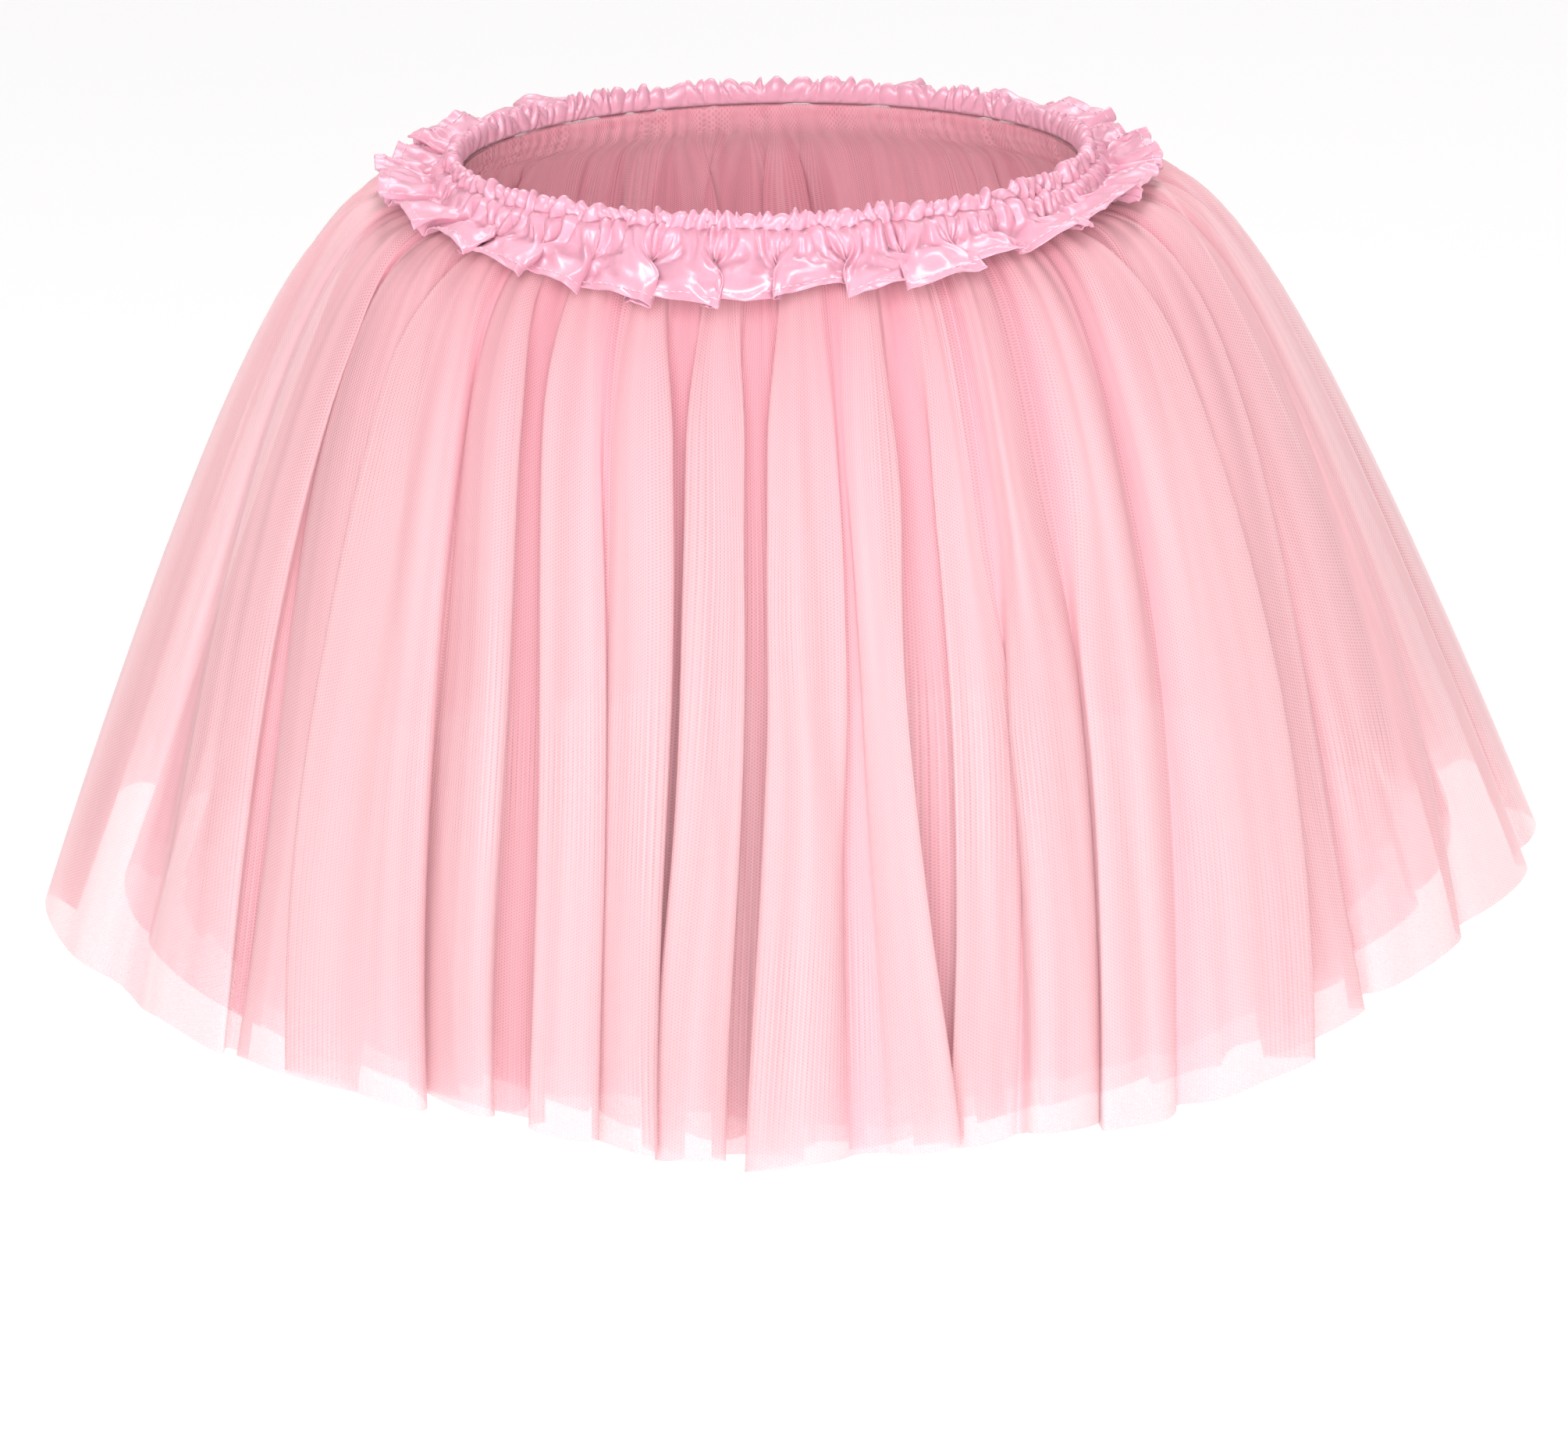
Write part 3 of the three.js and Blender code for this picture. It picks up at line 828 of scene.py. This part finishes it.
def frillStitches(form):
    shape = bmesh.new()
    along = frill["long"] - stitch["above"]
    marks, path = [], []
    for step in range(stitch["marks"]):
        marks.append(frillPoint(form, len(frillWaves) * step / stitch["marks"], along, stitch["lift"]))
        path.append(path[-1] + (marks[-1] - marks[-2]).length if path else 0)

    def pointAt(distance):
        after = min(max(bisect.bisect_left(path, distance), 1), len(path) - 1)
        share = (distance - path[after - 1]) / (path[after] - path[after - 1])
        return marks[after - 1].lerp(marks[after], share)

    count = int(path[-1] / (stitch["pitch"] * mm))
    for index in range(count):
        start = path[-1] * index / count
        points = [pointAt(start + stitch["long"] * mm * share) for share in (0, 0.5, 1)]
        middle = points[1]
        angle = math.atan2(middle.x / waist["halfWidth"], -middle.y / waist["halfDepth"])
        out = ringAt(math.degrees(angle))[1]
        side = (points[2] - points[0]).normalized().cross(out).normalized()
        rings = []
        for point, size in zip(points, stitch["taper"]):
            radius = stitch["thick"] / 2 * mm * size
            across, up = side * radius, out * radius
            rings.append([shape.verts.new(point + across * math.cos(turn) + up * math.sin(turn))
                          for turn in (0, fullTurn / 4, fullTurn / 2, fullTurn * 3 / 4)])
        for low, high in zip(rings, rings[1:]):
            for corner in range(4):
                after = (corner + 1) % 4
                shape.faces.new((low[corner], low[after], high[after], high[corner])).smooth = True
        shape.faces.new(list(reversed(rings[0])))
        shape.faces.new(rings[-1])
    bmesh.ops.recalc_face_normals(shape, faces=shape.faces)
    return meshPiece("hem_stitches", shape)


def threadMaterial():
    material, nodes, links, shader = newMaterial("thread")
    place = nodes.new("ShaderNodeTexCoord")
    twist = nodes.new("ShaderNodeTexNoise")
    twist.inputs["Scale"].default_value = threadLook["twist"]
    links.new(place.outputs["Object"], twist.inputs["Vector"])
    tint = tintBetween(nodes, links, twist.outputs["Fac"], threadLook["deep"], threadLook["pale"])
    links.new(tint, shader.inputs["Base Color"])
    shader.inputs["Roughness"].default_value = threadLook["roughness"]
    return material


def dress(piece, material, replaced=None):
    piece.data.materials.append(material)
    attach(piece, "root")
    if replaced:
        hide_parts(replaced)


# Make the pieces
tulleCloth = tulleMaterial()
for node, facts in tulle.items():
    piece, width = tulleLayer(node.replace("tulle", "net"), facts)
    dress(piece, tulleCloth, node)
    flat = (facts["cut"], facts["long"] * mm)
    area = sum(face.area for face in piece.data.polygons) / (flat[0] * flat[1])
    print("layer", piece.name, "hem", round(width, 3), "of its cut", round(area, 2), len(piece.data.polygons))

satin = satinMaterial()
casingPiece = satinCasing()
dress(casingPiece, satin, "waist_casing")
print("casing", len(casingPiece.data.polygons))

frillForm = formOf(frillTilt)
frillPiece, frillWidth = satinFrill(frillForm)
dress(frillPiece, satin, "waist_frill")
stitches = frillStitches(frillForm)
dress(stitches, threadMaterial())
print("frill", round(frillWidth, 3), len(frillPiece.data.polygons), "stitches", len(stitches.data.polygons))

# Floor, light and camera
studio = {
    "floorHeight": -0.62,
    "floorSize": 90,
    "floorColour": (0.93, 0.92, 0.92, 1),
    "floorRoughness": 0.8,
    "floorSpecular": 0.1,
    "sky": 0.28,
    "skyColour": (1, 0.99, 0.985, 1),
    "eye": (0.262, -1.867, 0.528),
    "aim": (0.001, -0.020, -0.196),
    "roll": 2.0,
    "lens": 133.2,
    "sensor": 36,
}
lamps = [
    {"name": "key", "place": (-0.25, -2.7, 1.35), "aim": (0, 0, -0.15), "size": (2.6, 2.2), "power": 75},
    {
        "name": "glint", "place": (-0.25, -2.7, 1.35), "aim": (0, 0, -0.15), "size": (0.9, 0.25), "power": 22,
        "diffuse": False,  # shines on the satin only
    },
    {"name": "fill", "place": (0.9, -2.6, 0.3), "aim": (0, 0, -0.15), "size": (0.8, 0.8), "power": 22},
    {
        "name": "gloss", "place": (0.15, 0.9, 1.5), "aim": (0, 0, 0), "size": (1.4, 0.12), "power": 17,
        "diffuse": False,  # and so does this one, from behind
    },
    {
        "name": "backdrop", "place": (0, 1, 1.3), "aim": (0, 0, 0), "softness": 20, "power": 2.8,
        "glossy": False,  # a soft sun from behind, which whitens the floor
    },
]
bounces = {"transparent_max_bounces": 12, "max_bounces": 3, "diffuse_bounces": 2, "glossy_bounces": 2}


def paleFloor():
    bpy.ops.mesh.primitive_plane_add(size=studio["floorSize"], location=(0, 0, studio["floorHeight"]))
    floor = bpy.context.active_object
    floor.name = "studio_floor"
    material, _, _, shader = newMaterial("floor")
    shader.inputs["Base Color"].default_value = studio["floorColour"]
    shader.inputs["Roughness"].default_value = studio["floorRoughness"]
    shader.inputs["Specular IOR Level"].default_value = studio["floorSpecular"]
    floor.data.materials.append(material)


def placed(data, place, aim, roll=0):  # an object at a place, turned to look at another
    holder = bpy.data.objects.new(data.name, data)
    bpy.context.collection.objects.link(holder)
    holder.location = place
    holder.rotation_mode = "QUATERNION"
    look = (Vector(aim) - Vector(place)).to_track_quat("-Z", "Y")
    holder.rotation_quaternion = look @ Quaternion((0, 0, 1), -math.radians(roll))
    return holder


def studioLight(facts):
    if "softness" in facts:
        light = bpy.data.lights.new(facts["name"], "SUN")
        light.angle = math.radians(facts["softness"])
    else:
        light = bpy.data.lights.new(facts["name"], "AREA")
        light.shape = "RECTANGLE"
        light.size, light.size_y = facts["size"]
    light.energy = facts["power"]
    holder = placed(light, facts["place"], facts["aim"])
    holder.visible_diffuse = facts.get("diffuse", True)
    holder.visible_glossy = facts.get("glossy", True)


def photoCamera():
    camera = bpy.data.cameras.new("camera")
    camera.lens = studio["lens"]
    camera.sensor_width = studio["sensor"]
    bpy.context.scene.camera = placed(camera, studio["eye"], studio["aim"], studio["roll"])


paleFloor()
photoCamera()
for facts in lamps:
    studioLight(facts)
world = bpy.data.worlds.new("studio")
world.use_nodes = True
world.node_tree.nodes["Background"].inputs["Color"].default_value = studio["skyColour"]
world.node_tree.nodes["Background"].inputs["Strength"].default_value = studio["sky"]
bpy.context.scene.world = world
for name, most in bounces.items():  # a sight line crosses many layers of net
    setattr(bpy.context.scene.cycles, name, most)
bpy.context.scene.view_settings.view_transform = "Standard"
print("studio ready")
